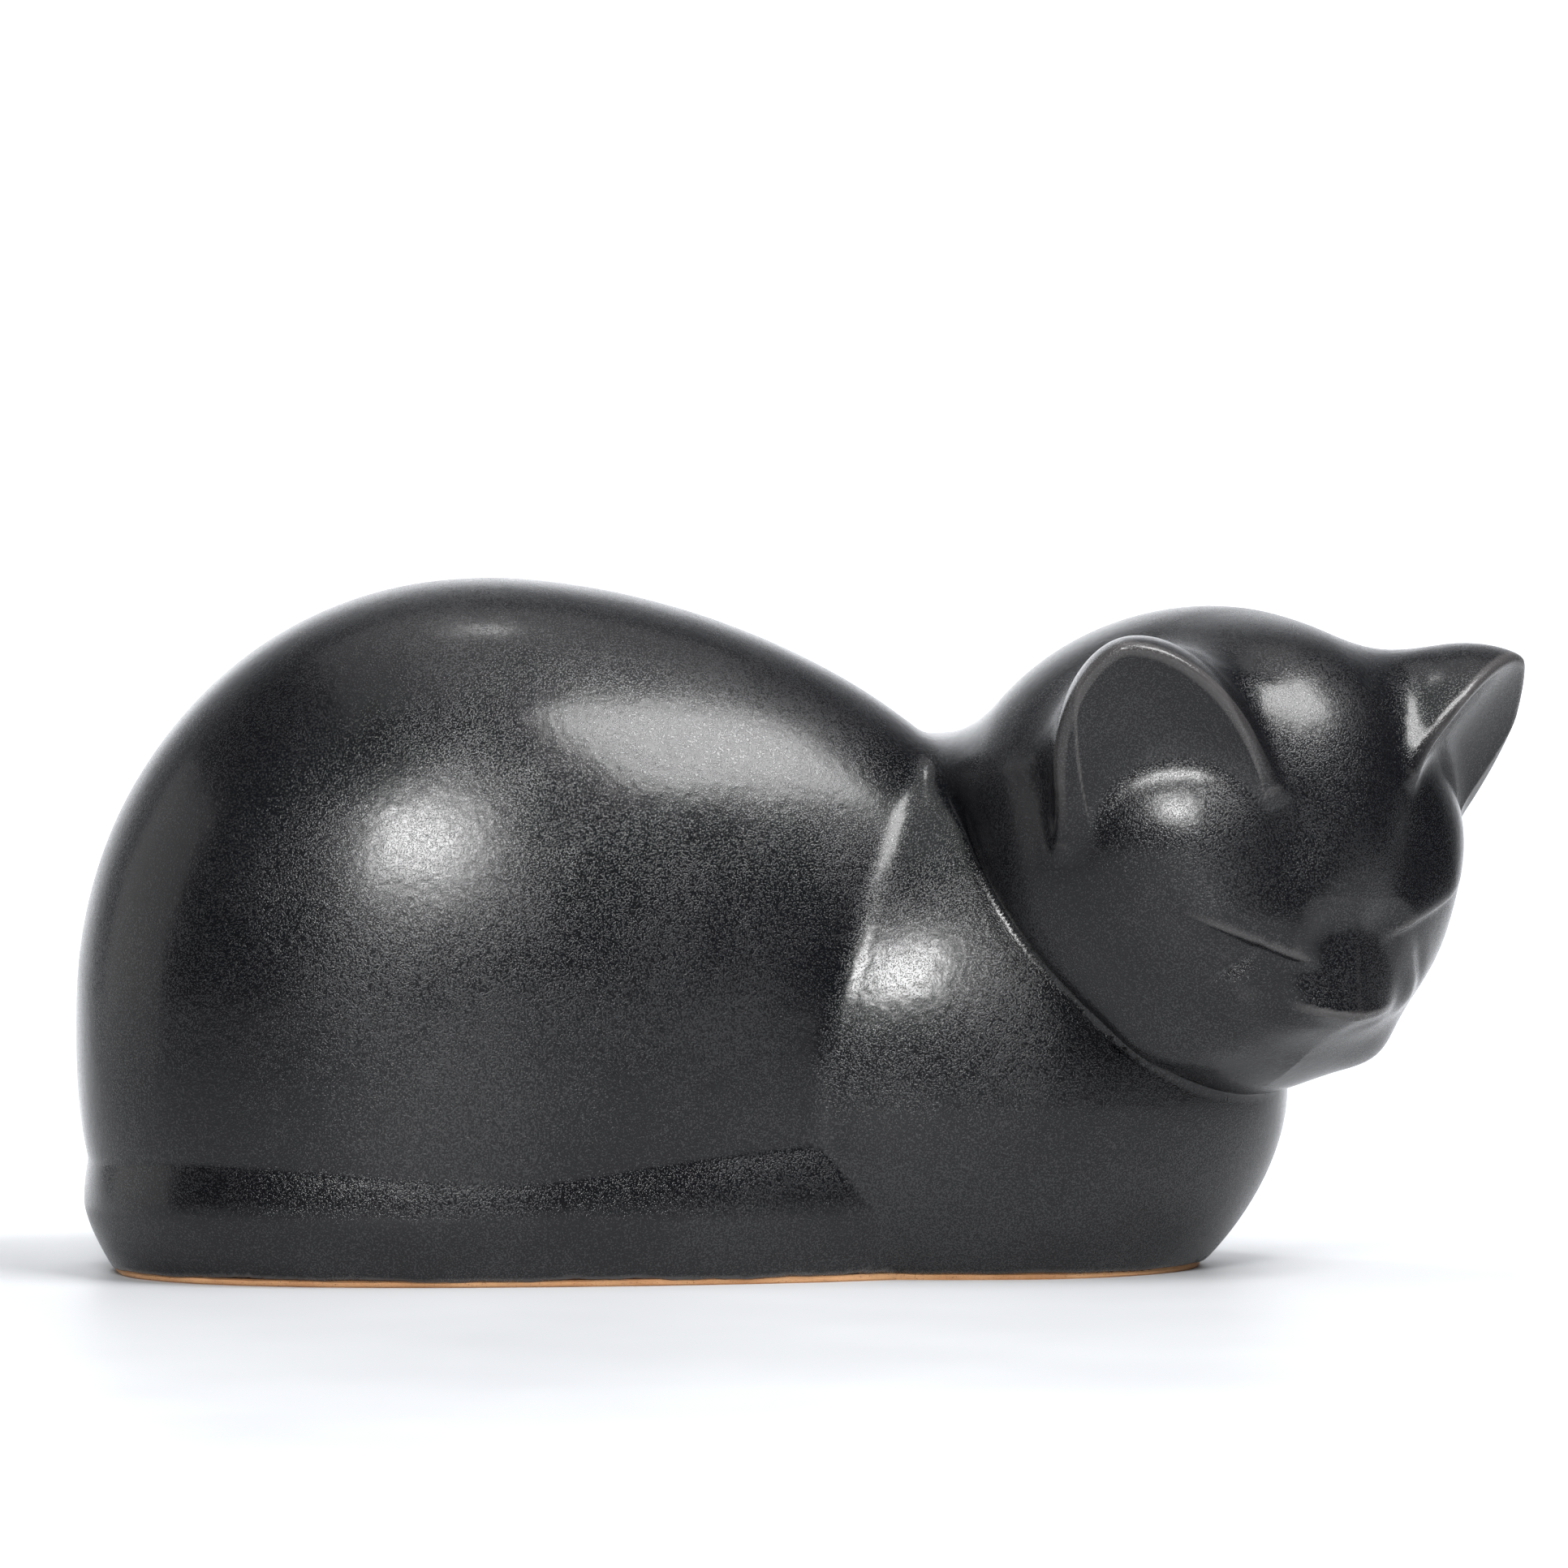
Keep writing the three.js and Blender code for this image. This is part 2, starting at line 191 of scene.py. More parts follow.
def head_axes():
    """The head's own axes: the cat's left, up the face, and out of the nose."""
    yaw, pitch, roll = (math.radians(HEAD_TURN[turn]) for turn in ("yaw", "pitch", "roll"))
    forward = np.array([math.cos(yaw) * math.cos(pitch), math.sin(yaw) * math.cos(pitch),
                        math.sin(pitch)])
    level_left = np.array([-math.sin(yaw), math.cos(yaw), 0.0])
    level_up = np.cross(forward, level_left)
    left = level_left * math.cos(roll) + level_up * math.sin(roll)
    up = level_up * math.cos(roll) - level_left * math.sin(roll)
    return left, up, forward


HEAD_AXES = head_axes()


def to_head(x, y, z):
    dx, dy, dz = x - HEAD[0], y - HEAD[1], z - HEAD[2]
    return tuple(dx * axis[0] + dy * axis[1] + dz * axis[2] for axis in HEAD_AXES)


def face_relief(side, up):
    """Height of the modelling above the plain ball; the far eye is set a little higher."""
    across = np.abs(side)
    far_eye_lift = EYE["far_eye_lift"] * np.tanh(side / EYE["lift_width"])
    slit_height = EYE["slant"] * (across - EYE["across"]) + EYE["up"] + far_eye_lift
    above = up - slit_height
    slit_length = ease(*EYE["inner"], across) * (1 - ease(*EYE["outer"], across))
    fade = np.where(above > 0, np.exp(-(above / EYE["fade_up"]) ** 2),
                    np.exp(np.minimum(above, 0) / EYE["fade_down"]))
    relief = slit_length * (EYE["lid"] * np.tanh(above / EYE["lid_edge"]) + EYE["swell"]) * fade
    keel = CHIN_KEEL["height"] * np.exp(-across / CHIN_KEEL["wide"])
    relief = relief + keel * mound(0, (up - CHIN_KEEL["up"]) / CHIN_KEEL["tall"])
    below = up - EYE_FOLD["up"]
    fold_side = (across - EYE_FOLD["across"] + EYE_FOLD["slant"] * below) / EYE_FOLD["wide"]
    relief = relief - EYE_FOLD["depth"] * mound(fold_side, below / EYE_FOLD["tall"])
    for height, middle, wide, level, tall in FACE_MOUNDS.values():
        relief = relief + height * mound((across - middle) / wide, (up - level) / tall)
    return relief


def snout_reach(side, up, forward):
    """Distance from the head's centre, along a unit way, to the nose's two facets and underside."""
    across = np.hypot(side, NOSE_BLUNT)
    facing = forward + NOSE_LEAN * up + NOSE_FACET * across
    ahead, upward, sideways = NOSE_UNDER_WAY
    under = ahead * forward + upward * up + sideways * across
    facets = NOSE_RIDGE / np.maximum(facing, LEAST_FACING)
    underside = NOSE_UNDER / np.maximum(under, LEAST_FACING)
    return join(facets, underside, NOSE_TIP_ROUND)


def head_form(x, y, z):
    side, up, forward = to_head(x, y, z)
    radius = np.sqrt(side ** 2 + up ** 2 + forward ** 2) + 1e-6
    spread = HEAD_RADIUS / radius
    a, b = side * spread, up * spread
    rearward = np.maximum(HEAD[0] - x, 0) / radius
    skull = HEAD_RADIUS + SKULL_BACK * rearward ** SKULL_POWER
    plain = skull + face_relief(a, b) * ease(0, FACE_EDGE, forward)
    snout = snout_reach(side / radius, up / radius, forward / radius)
    beside_nose = (1 - ease(*NOSE_SIDE_FADE, np.abs(a))) * (1 - ease(*NOSE_TOP_FADE, b))
    below_brow = (1 - ease(*NOSE_BROW_FADE, b)) * ease(*NOSE_MOUTH_FADE, b)
    carved = plain + below_brow * join(snout - plain, 0, NOSE_CARVE)
    nose = beside_nose * (trim(carved, snout, NOSE_PROUD) - plain) * ease(*NOSE_FORE_FADE, forward)
    face = (radius - plain - nose) * EVEN_SLOPE
    return trim(face, -collar_height(x, y, z) - COLLAR_BACK, JAW_ROUND)


def ear_axes(inner):
    """An ear stands on the line between its two lower corners and leans out to its tip."""
    root = (EAR_OUTER + inner) / 2
    rise = EAR_TIP - root
    height = np.linalg.norm(rise)
    rise = rise / height
    across = EAR_OUTER - inner
    half_width = np.linalg.norm(across) / 2
    across = across - rise * (across @ rise)
    across /= np.linalg.norm(across)
    face = np.cross(rise, across)
    if face[2] < 0:
        face = -face
    return root, rise, across, face, height, half_width


EAR_AXES = {name: ear_axes(inner) for name, inner in EAR_INNER.items()}


def one_ear(name, across_head, up, forward):
    """One ear's surface, and the depth in front of its face plane; across_head is from the nose."""
    root, rise_axis, across_axis, face_axis, height, half_width = EAR_AXES[name]
    local = (across_head - root[0], up - root[1], forward - root[2])
    across, rise, depth = (local[0] * axis[0] + local[1] * axis[1] + local[2] * axis[2]
                           for axis in (across_axis, rise_axis, face_axis))
    rise = rise + EAR_ROOT
    full = height + EAR_ROOT - 1
    width = half_width + 0.5
    tall = np.maximum(rise, 0) / full
    round_part = np.hypot(across / width, depth / EAR_DEPTH) + 1e-6
    round_slope = np.hypot(across / width ** 2, depth / EAR_DEPTH ** 2) / round_part
    slope = np.hypot(EAR_TAPER * tall ** (EAR_TAPER - 1) / full,
                     EAR_OVAL * round_part ** (EAR_OVAL - 1) * round_slope)
    horn = (tall ** EAR_TAPER + round_part ** EAR_OVAL - 1) / np.maximum(slope, 0.014)
    bowl = np.hypot((across + RIM_SHIFT) / (half_width - RIM_SHIFT - BOWL_RIM), BOWL_TALL * tall)
    dish = EAR_DISH * np.maximum(1 - bowl ** 2, 0)
    return trim(trim(horn, depth - FACE_OUT + dish, RIM_ROUND), -rise, 2.0), depth


def ear_form(x, y, z):
    """Both ears at once: the cat's left ear on one side of the head, its right ear on the other."""
    side, up, forward = to_head(x, y, z)
    left, right = one_ear("left", side, up, forward), one_ear("right", -side, up, forward)
    return tuple(np.where(side > 0, a, b) for a, b in zip(left, right))


def hand_waver(x, y, z):
    """The slight unevenness of a hand-built wall, a tenth of a millimetre or so."""
    slow = np.sin(x / 13 + 1.7 * np.sin(y / 23)) * np.sin(z / 11 + 0.9 * np.sin(x / 29))
    fast = np.sin(x / 5.3 + y / 6.1) * np.sin(z / 4.7 - x / 8.9)
    return 0.10 * slow + 0.02 * fast


def cat_parts(x, y, z):
    """The whole glazed surface, and the forms that share it out: body, head and ears."""
    body = body_form(x, y, z)
    head = head_form(x, y, z)
    ears, depth = ear_form(x, y, z)
    back_fillet = 5.0 + 6.0 * ease(-2, -16, depth)
    eared_head = join(head, ears, back_fillet)
    neck_fillet = 2.0 + 8.5 * ease(90, 108, z)
    whole = join(body, eared_head, neck_fillet) + hand_waver(x, y, z)
    return whole, body, head, ears


# ---- meshing ------------------------------------------------------------------------------------

SETTLE_MOVES = 4
EDGE_MOVES = 6
LONGEST_MOVE = 0.6      # a move's limit, and the next value, are shares of the mesh's step
GLAZED_WITHIN = 0.7     # corners this near the surface are shaded as glaze
SLAB_ROWS = 16          # grid rows worked out at a time
LEAST_SLOPE = 0.05

def sample(field, low, count, step):
    """The field's two values (surface, limit) on a grid, in slabs to keep memory small."""
    surface = np.empty(count, np.float32)
    limit = np.empty(count, np.float32)
    xs, ys, zs = (low[i] + step * np.arange(count[i]) for i in range(3))
    y, z = np.meshgrid(ys, zs, indexing="ij")
    for start in range(0, count[0], SLAB_ROWS):
        stop = start + SLAB_ROWS
        x = xs[start:stop][:, None, None]
        shape = np.broadcast_to(x, (x.shape[0],) + y.shape)
        surface[start:stop], limit[start:stop] = field(shape, y[None], z[None])
    return surface, limit


def corner_views(grid):
    m = [n - 1 for n in grid.shape]
    for dx in (0, 1):
        for dy in (0, 1):
            for dz in (0, 1):
                yield (dx, dy, dz), grid[dx:dx + m[0], dy:dy + m[1], dz:dz + m[2]]


def net(field, low, high, step):
    """A closed mesh of the region where both field values are negative: points, quads, and which
    points lie on the glazed surface, on the limit, or on the edge between them."""
    low = np.array(low, float)
    count = tuple(int(math.ceil((high[i] - low[i]) / step)) + 1 for i in range(3))
    surface, limit = sample(field, low, count, step)
    both = np.maximum(surface, limit)
    inside = both < 0
    inner = sum(view.astype(np.int8) for _, view in corner_views(inside))
    active = (inner > 0) & (inner < 8)
    cells = np.argwhere(active)
    number = np.full(active.shape, -1, np.int64)
    number[active] = np.arange(len(cells))
    i, j, k = cells.T
    total = np.zeros((len(cells), 3))
    crossings = np.zeros(len(cells))
    cut_by_surface = np.zeros(len(cells), bool)
    cut_by_limit = np.zeros(len(cells), bool)
    for corner, _ in corner_views(inside):
        at = (i + corner[0], j + corner[1], k + corner[2])
        outside = ~inside[at]
        by_surface = surface[at] >= limit[at]
        cut_by_surface |= outside & by_surface
        cut_by_limit |= outside & ~by_surface
        for axis in range(3):
            if corner[axis]:
                continue
            far = list(at)
            far[axis] = far[axis] + 1
            near_value, far_value = both[at], both[tuple(far)]
            crossed = (near_value < 0) != (far_value < 0)
            gap = np.where(crossed, near_value - far_value, 1)
            place = np.tile(np.array(corner, float), (len(cells), 1))
            place[:, axis] += np.where(crossed, near_value / gap, 0)
            total += np.where(crossed[:, None], place, 0)
            crossings += crossed
    points = low + step * (cells + total / crossings[:, None])
    return points, net_quads(inside, number), cut_by_surface, cut_by_limit


def net_quads(inside, number):
    """One quad round each grid edge that crosses the surface, facing out."""
    quads = []
    for axis in range(3):
        u, v = (n for n in range(3) if n != axis)
        first = [slice(None)] * 3
        second = [slice(None)] * 3
        first[axis], second[axis] = slice(0, -1), slice(1, None)
        a, b = inside[tuple(first)], inside[tuple(second)]
        edges = np.argwhere(a != b)
        entering = b[tuple(edges.T)]
        ring = []
        for du, dv in ((1, 1), (0, 1), (0, 0), (1, 0)):
            cell = edges.copy()
            cell[:, u] -= du
            cell[:, v] -= dv
            ring.append(number[tuple(cell.T)])
        quad = np.stack(ring, 1)
        flip = ~entering if axis == 1 else entering
        quad[flip] = quad[flip][:, ::-1]
        quads.append(quad)
    return np.concatenate(quads)


def gradients(field, points, reach=0.04):
    """Slopes of both field values at the points."""
    slopes = np.empty((2,) + points.shape)
    for axis in range(3):
        step = np.zeros(3)
        step[axis] = reach
        ahead, behind = field(*(points + step).T), field(*(points - step).T)
        for which in (0, 1):
            slopes[which, :, axis] = (ahead[which] - behind[which]) / (2 * reach)
    return slopes


def settle_once(field, points, on_surface, on_limit, step):
    """One move of each point towards the surface, the limit, or the edge where they meet."""
    values = field(*points.T)
    slopes = gradients(field, points)
    move = np.zeros_like(points)
    for which, chosen in ((0, on_surface & ~on_limit), (1, on_limit & ~on_surface)):
        slope = slopes[which][chosen]
        size = np.maximum((slope ** 2).sum(1), LEAST_SLOPE)
        move[chosen] = -(values[which][chosen] / size)[:, None] * slope
    edge = on_surface & on_limit
    s, t = slopes[0][edge], slopes[1][edge]
    ss, tt, st = (s * s).sum(1), (t * t).sum(1), (s * t).sum(1)
    det = np.maximum(ss * tt - st * st, LEAST_SLOPE)
    a, b = -values[0][edge], -values[1][edge]
    move[edge] = ((a * tt - b * st) / det)[:, None] * s + ((b * ss - a * st) / det)[:, None] * t
    length = np.linalg.norm(move, axis=1, keepdims=True)
    return points + move * np.minimum(1, LONGEST_MOVE * step / np.maximum(length, 1e-9))


def settle(field, points, on_surface, on_limit, step):
    """Moves the points exactly onto the surface; those on an edge take more moves to get there."""
    points = points.copy()
    for _ in range(SETTLE_MOVES):
        points = settle_once(field, points, on_surface, on_limit, step)
    edge = on_surface & on_limit
    for _ in range(EDGE_MOVES):
        points[edge] = settle_once(field, points[edge], on_surface[edge], on_limit[edge], step)
    return points


def bending(field, points, reach=0.5):
    """How sharply the surface bends outwards at the points, per millimetre."""
    middle = field(*points.T)[0]
    total = -6 * middle
    for axis in range(3):
        step = np.zeros(3)
        step[axis] = reach
        total = total + field(*(points + step).T)[0] + field(*(points - step).T)[0]
    return total / reach ** 2


def unit(vectors):
    return vectors / np.maximum(np.linalg.norm(vectors, axis=-1, keepdims=True), 1e-9)


def build_piece(name, field, low, high, step):
    """A closed, finely meshed solid of the field, with the glazed surface's own smooth normals."""
    points, quads, on_surface, on_limit = net(field, low, high, step)
    points = settle(field, points, on_surface, on_limit, step)
    normals = unit(gradients(field, points)[0])
    mesh = bpy.data.meshes.new(name)
    mesh.from_pydata((points * MM).tolist(), [], quads.tolist())
    mesh.polygons.foreach_set("use_smooth", np.ones(len(quads), bool))
    mesh.attributes.new("bend", "FLOAT", "POINT").data.foreach_set("value", bending(field, points))
    glazed = (np.abs(field(*points.T)[0])[quads] < GLAZED_WITHIN * step).all(1)
    a, b, c, d = (points[quads[:, n]] for n in range(4))
    flat = unit(np.cross(c - a, d - b))
    loops = np.where(glazed[:, None, None], normals[quads], flat[:, None, :])
    mesh.normals_split_custom_set(loops.reshape(-1, 3).tolist())
    mesh.update()
    piece = bpy.data.objects.new(name, mesh)
    bpy.context.scene.collection.objects.link(piece)
    return piece


# ---- the glazed pieces ------------------------------------------------------------------------

WELL_TOP = 40           # the hollow is modelled this high, as far as the vent lets it be seen
GLAZE_LIP = 0.9

def glaze_edge(x, y):
    """Height at which the glaze stops above the foot, wandering a little round the base."""
    turn = np.arctan2(y, x + 10)
    return FOOT_HEIGHT + 0.22 * np.sin(7 * turn + 1) + 0.14 * np.sin(23 * turn) + 0.07 * np.sin(61 * turn)


def body_field(x, y, z):
    whole, body, head, ears = cat_parts(x, y, z)
    share = body - np.minimum(head, ears) + SEAM_SHIFT
    well = np.maximum(body + WALL, z - WELL_TOP)
    return trim(whole, glaze_edge(x, y) - z, GLAZE_LIP), np.maximum(share, -well)


def head_field(x, y, z):
    whole, body, head, ears = cat_parts(x, y, z)
    return whole, np.maximum(head - ears, np.minimum(head, ears) - body - SEAM_SHIFT)


def ear_field(sign):
    def field(x, y, z):
        whole, body, head, ears = cat_parts(x, y, z)
        side = to_head(x, y, z)[0]
        return whole, np.maximum(np.maximum(ears - head, ears - body - SEAM_SHIFT), -sign * side)
    return field


def ear_box(sign):
    """Lowest and highest corners, in the row's frame, of a box round one ear."""
    corners = np.array([EAR_TIP, EAR_OUTER, EAR_INNER["left" if sign > 0 else "right"]])
    corners[:, 0] *= sign
    places = HEAD + corners @ np.array(HEAD_AXES)
    return places.min(0) - 22, places.max(0) + 16


body_step = 1.35
head_step = 0.7
ear_step = 0.45

glazed_pieces = {
    "body_casting": build_piece("cat_body", body_field, (-128, -64, -1), (134, 64, 150), body_step),
    "head_casting": build_piece("cat_head", head_field, (52, -88, 30), (170, 36, 144), head_step),
    "right_ear": build_piece("cat_right_ear", ear_field(-1), *ear_box(-1), ear_step),
    "left_ear": build_piece("cat_left_ear", ear_field(1), *ear_box(1), ear_step),
}


# ---- the bare clay slab --------------------------------------------------------------------------

def outline(height, inset, turns):
    """Reach from the vent's centre to the body's side at one height, drawn in by inset."""
    ways = np.stack([np.cos(turns), np.sin(turns)])
    near, far = np.zeros(len(turns)), np.full(len(turns), 260.0)
    for _ in range(30):
        middle = (near + far) / 2
        x, y = VENT[0] + ways[0] * middle, VENT[1] + ways[1] * middle
        within = body_form(x, y, np.full_like(x, height)) + inset < 0
        near, far = np.where(within, middle, near), np.where(within, far, middle)
    return near


def slab_rings(turns):
    """Rings of (reach, height) from the vent's lower lip, out along the foot, and back over the top."""
    edge = outline(FOOT_HEIGHT, FOOT_INSET, turns)
    nick = 0.12 * np.sin(19 * turns) + 0.08 * np.sin(47 * turns + 2)
    plug = outline(SLAB_HEIGHT, WALL + JOINT_GAP, turns)
    yield np.full(len(turns), VENT_RADIUS), 0.5
    yield np.full(len(turns), VENT_RADIUS + 0.6), 0.0
    for share in (0.15, 0.3, 0.45, 0.6, 0.75, 0.9, 0.97):
        yield VENT_RADIUS + (edge - 1.0 - VENT_RADIUS) * share, 0.0
    yield edge - 0.55 + nick * 0.5, 0.0
    yield edge - 0.15 + nick, 0.3
    yield edge + nick, 0.7
    yield edge + nick * 0.5, FOOT_HEIGHT + 0.25
    yield plug + 4.0, FOOT_HEIGHT + 0.25
    yield plug, FOOT_HEIGHT + 0.3
    yield plug, SLAB_HEIGHT - 0.5
    yield plug - 0.5, SLAB_HEIGHT
    yield np.full(len(turns), VENT_RADIUS + 0.5), SLAB_HEIGHT
    yield np.full(len(turns), VENT_RADIUS), SLAB_HEIGHT - 0.5


def build_slab():
    turns = np.linspace(0, 2 * math.pi, 720, endpoint=False)
    rings = list(slab_rings(turns))
    points = [np.stack([VENT[0] + reach * np.cos(turns), VENT[1] + reach * np.sin(turns),
                        np.full(len(turns), height)], 1) for reach, height in rings]
    n, m = len(turns), len(rings)
    faces = [(r * n + t, r * n + (t + 1) % n, (r + 1) % m * n + (t + 1) % n, (r + 1) % m * n + t)
             for r in range(m) for t in range(n)]
    mesh = bpy.data.meshes.new("clay_slab")
    mesh.from_pydata((np.concatenate(points) * MM).tolist(), [], faces)
    mesh.flip_normals()
    mesh.update()
    piece = bpy.data.objects.new("clay_slab", mesh)
    bpy.context.scene.collection.objects.link(piece)
    return piece


# ---- materials ----------------------------------------------------------------------------------

def grade(tree, source, low, high, out_low, out_high):
    """Maps source from low..high to out_low..out_high, held at the ends."""
    made = tree.nodes.new("ShaderNodeMapRange")
    for name, value in (("From Min", low), ("From Max", high), ("To Min", out_low), ("To Max", out_high)):
        made.inputs[name].default_value = value
    tree.links.new(source, made.inputs["Value"])
    return made.outputs["Result"]


def combine(tree, how, a, b):
    made = tree.nodes.new("ShaderNodeMath")
    made.operation = how
    for socket, value in zip(made.inputs, (a, b)):
        if isinstance(value, (int, float)):
            socket.default_value = value
        else:
            tree.links.new(value, socket)
    return made.outputs[0]


def noise(tree, place, scale, detail=2.0, rough=0.5):
    made = tree.nodes.new("ShaderNodeTexNoise")
    made.inputs["Scale"].default_value = scale
    made.inputs["Detail"].default_value = detail
    made.inputs["Roughness"].default_value = rough
    tree.links.new(place, made.inputs["Vector"])
    return made.outputs["Fac"]


def blend_colour(tree, amount, low, high):
    made = tree.nodes.new("ShaderNodeMix")
    made.data_type = "RGBA"
    tree.links.new(amount, made.inputs["Factor"])
    for socket, value in ((made.inputs["A"], low), (made.inputs["B"], high)):
        if isinstance(value, tuple):
            socket.default_value = (*value, 1.0)
        else:
            tree.links.new(value, socket)
    return made.outputs["Result"]


def new_material(name):
    made = bpy.data.materials.new(name)
    made.use_nodes = True
    tree = made.node_tree
    place = tree.nodes.new("ShaderNodeTexCoord").outputs["Object"]
    return made, tree, tree.nodes["Principled BSDF"], place


def bump(tree, shader, height, distance, strength=1.0):
    made = tree.nodes.new("ShaderNodeBump")
    made.inputs["Distance"].default_value = distance
    made.inputs["Strength"].default_value = strength
    tree.links.new(height, made.inputs["Height"])
    tree.links.new(made.outputs["Normal"], shader.inputs["Normal"])


def glaze_material():
    """Satin near-black glaze, salted with rougher crystals about a third of a millimetre across, and
    lighter along convex edges: partly glaze breaking thin there, partly a painted highlight.
    """
    made, tree, shader, place = new_material("crystal_glaze")
    crystals = noise(tree, place, 3000, 1.0, 0.5)
    patches = noise(tree, place, 28, 3.0, 0.55)
    bend = tree.nodes.new("ShaderNodeAttribute")
    bend.attribute_name = "bend"
    # Convex edges get a lighter colour: partly the glaze breaking thin over them, partly a painted
    # highlight along ridges and rims.
    thin_glaze_and_painted_edge_highlight = grade(tree, bend.outputs["Fac"], 0.15, 0.60, 0.0, 1.0)
    spread = combine(tree, "ADD", crystals, grade(tree, patches, 0.35, 0.65, -0.05, 0.05))
    crystal = grade(tree, spread, 0.50, 0.62, 0.0, 1.0)
    shade = blend_colour(tree, grade(tree, patches, 0.3, 0.7, 0.0, 1.0), (0.0020, 0.0021, 0.0030),
                         (0.0030, 0.0030, 0.0040))
    colour = blend_colour(tree, crystal, shade, (0.0065, 0.0068, 0.0082))
    # Painted edge highlight: the colour is mixed towards light grey where the surface bends sharply
    # outwards.
    colour_with_painted_edge_highlight = blend_colour(tree, combine(tree, "MULTIPLY", thin_glaze_and_painted_edge_highlight, 0.6), colour, (0.085, 0.080, 0.080))
    tree.links.new(colour_with_painted_edge_highlight, shader.inputs["Base Color"])
    roughness = combine(tree, "ADD", grade(tree, crystal, 0.0, 1.0, 0.20, 0.27),
                        grade(tree, patches, 0.3, 0.7, -0.02, 0.03))
    tree.links.new(roughness, shader.inputs["Roughness"])
    shader.inputs["IOR"].default_value = 1.52
    tree.links.new(grade(tree, crystal, 0.0, 1.0, 0.36, 0.66), shader.inputs["Specular IOR Level"])
    peel = noise(tree, place, 420, 2.0, 0.5)
    height = combine(tree, "ADD", combine(tree, "MULTIPLY", crystal, 0.35), peel)
    bump(tree, shader, height, 0.00006)
    return made


def clay_material():
    """Bare fired stoneware: orange-buff, gritty, with darker iron specks."""
    made, tree, shader, place = new_material("bare_clay")
    patches = noise(tree, place, 60, 4.0, 0.6)
    grit = noise(tree, place, 2600, 3.0, 0.7)
    warm = blend_colour(tree, grade(tree, patches, 0.3, 0.7, 0.0, 1.0), (0.42, 0.20, 0.085),
                        (0.60, 0.34, 0.17))
    colour = blend_colour(tree, grade(tree, grit, 0.60, 0.68, 0.0, 0.8), warm, (0.12, 0.055, 0.025))
    tree.links.new(colour, shader.inputs["Base Color"])
    tree.links.new(grade(tree, grit, 0.3, 0.7, 0.75, 0.95), shader.inputs["Roughness"])
    bump(tree, shader, grit, 0.0002)
    return made


def floor_material():
    made, tree, shader, place = new_material("pale_floor")
    cloud = noise(tree, place, 6, 4.0, 0.6)
    colour = blend_colour(tree, grade(tree, cloud, 0.3, 0.7, 0.0, 1.0), (0.51, 0.52, 0.54),
                          (0.56, 0.57, 0.585))
    tree.links.new(colour, shader.inputs["Base Color"])
    tree.links.new(grade(tree, cloud, 0.3, 0.7, 0.42, 0.52), shader.inputs["Roughness"])
    shader.inputs["IOR"].default_value = 1.3
    return made


glaze = glaze_material()
clay = clay_material()
for replaced, piece in glazed_pieces.items():
    piece.data.materials.append(glaze)
    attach(piece, "root")
    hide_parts(replaced)
slab = build_slab()
slab.data.materials.append(clay)
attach(slab, "root")
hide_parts("base_slab")


# ---- floor, light and camera ---------------------------------------------------------------------

CAMERA_TURN = -6.0
CAMERA_TILT = 0.8
CAMERA_DISTANCE = 1.6
PICTURE_WIDTH = 0.3271
CAMERA_RIGHT = 0.0235
CAMERA_UP = 0.1006
SENSOR = 36
LIT_MIDDLE = Vector((0.0, -0.02, 0.10))


def sweep_floor():
    """A pale floor that curves up into a backdrop behind the cat."""
    radius, back, wide, front = 0.5, 1.3, 3.0, -2.6
    profile = [(front, 0.0), (-0.8, 0.0), (0.0, 0.0), (back - radius, 0.0)]
    for step in range(1, 17):
        turn = step / 16 * math.pi / 2
        profile.append((back - radius + radius * math.sin(turn), radius - radius * math.cos(turn)))
    profile.append((back, 2.4))
    points = [(x, y, z) for x in (-wide, wide) for y, z in profile]
    count = len(profile)
    faces = [(n, n + count, n + count + 1, n + 1) for n in range(count - 1)]
    mesh = bpy.data.meshes.new("floor")
    mesh.from_pydata(points, [], faces)
    mesh.polygons.foreach_set("use_smooth", np.ones(len(faces), bool))
    mesh.materials.append(floor_material())
    piece = bpy.data.objects.new("floor", mesh)
    bpy.context.scene.collection.objects.link(piece)


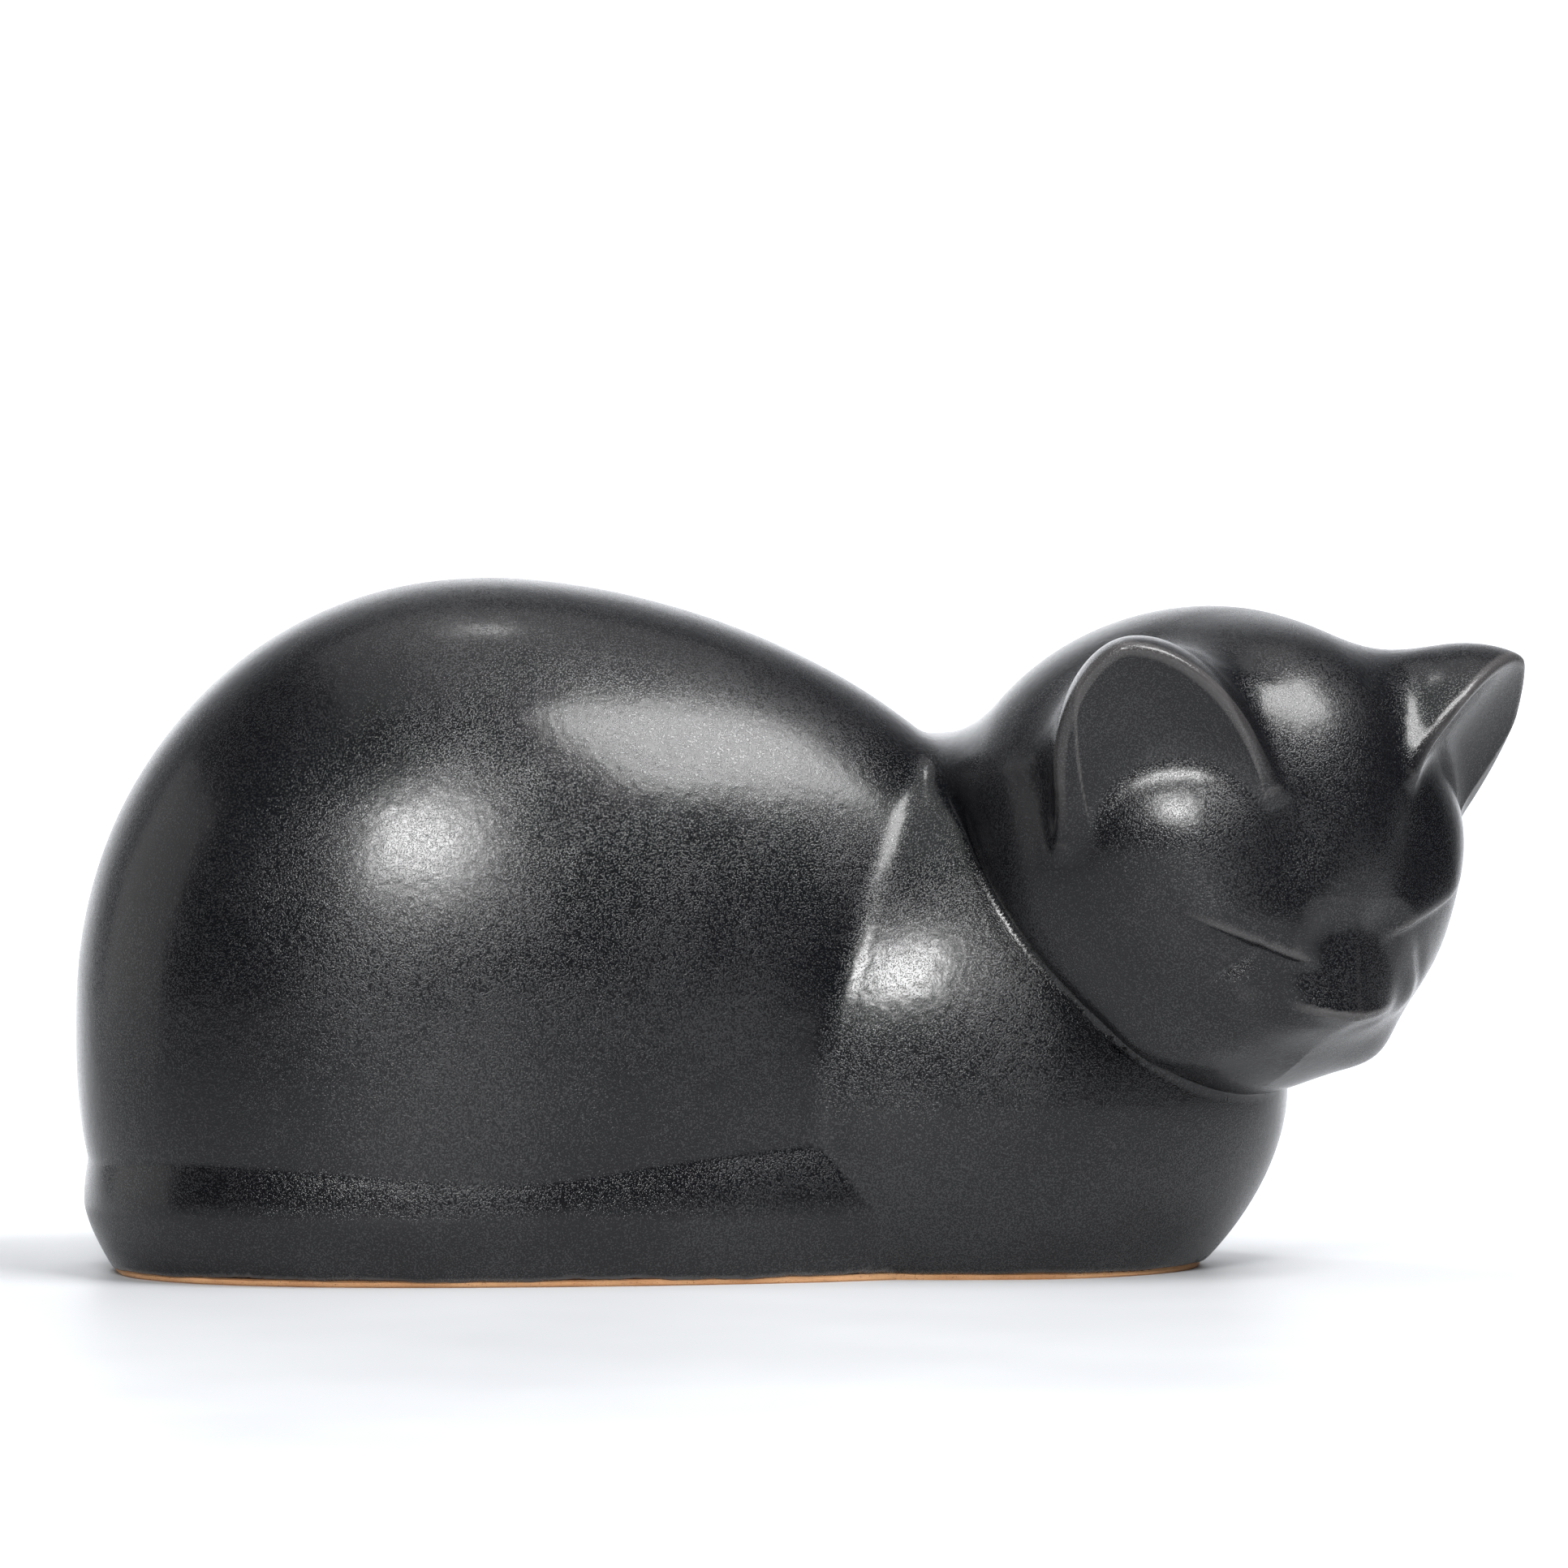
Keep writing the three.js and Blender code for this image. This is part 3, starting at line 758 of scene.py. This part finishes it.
def place_camera():
    """Nearly side on and almost level, with the cat low in a square picture."""
    turn, tilt = math.radians(CAMERA_TURN), math.radians(CAMERA_TILT)
    back = Vector((math.sin(turn) * math.cos(tilt), -math.cos(turn) * math.cos(tilt), math.sin(tilt)))
    right = Vector((math.cos(turn), math.sin(turn), 0))
    up = back.cross(right)
    lens = bpy.data.cameras.new("camera")
    lens.sensor_width = SENSOR
    lens.lens = SENSOR * CAMERA_DISTANCE / PICTURE_WIDTH
    camera = bpy.data.objects.new("camera", lens)
    camera.location = right * CAMERA_RIGHT + up * CAMERA_UP + back * CAMERA_DISTANCE
    camera.rotation_euler = (-back).to_track_quat("-Z", "Y").to_euler()
    bpy.context.scene.collection.objects.link(camera)
    bpy.context.scene.camera = camera


def soft_light(name, turn, rise, distance, size, radiance):
    """A softbox facing the cat: turn is from straight in front towards the cat's head, in degrees."""
    turn, rise = math.radians(turn), math.radians(rise)
    way = Vector((math.sin(turn) * math.cos(rise), -math.cos(turn) * math.cos(rise), math.sin(rise)))
    lamp = bpy.data.lights.new(name, "AREA")
    lamp.shape = "RECTANGLE"
    lamp.size, lamp.size_y = size
    lamp.energy = radiance * math.pi * size[0] * size[1]
    piece = bpy.data.objects.new(name, lamp)
    piece.location = LIT_MIDDLE + way * distance
    piece.rotation_euler = (-way).to_track_quat("-Z", "Y").to_euler()
    bpy.context.scene.collection.objects.link(piece)


def backdrop_spot():
    """Lights the backdrop from above the cat, so that it stays white behind it and fades beyond."""
    place, target = Vector((0, 0.3, 1.5)), Vector((0.05, 1.0, 0.1))
    lamp = bpy.data.lights.new("backdrop_spot", "SPOT")
    lamp.energy = 230
    lamp.spot_size = math.radians(75)
    lamp.spot_blend = 0.6
    lamp.shadow_soft_size = 0.2
    piece = bpy.data.objects.new("backdrop_spot", lamp)
    piece.location = place
    piece.rotation_euler = (target - place).to_track_quat("-Z", "Y").to_euler()
    bpy.context.scene.collection.objects.link(piece)


def light_studio():
    world = bpy.data.worlds.new("studio")
    world.use_nodes = True
    world.node_tree.nodes["Background"].inputs["Color"].default_value = (0.92, 0.95, 1.0, 1)
    world.node_tree.nodes["Background"].inputs["Strength"].default_value = 0.07
    bpy.context.scene.world = world
    soft_light("key", -12.5, 25.5, 1.4, (0.38, 0.33), 44)
    soft_light("large_softbox", 44, 49, 1.2, (0.78, 0.46), 18)
    soft_light("ceiling", 0, 88, 1.5, (1.6, 1.6), 0.9)
    soft_light("left_reflector", -100, 12, 1.3, (1.0, 1.0), 1.0)
    backdrop_spot()
    bpy.context.scene.view_settings.view_transform = "Standard"


sweep_floor()
light_studio()
place_camera()
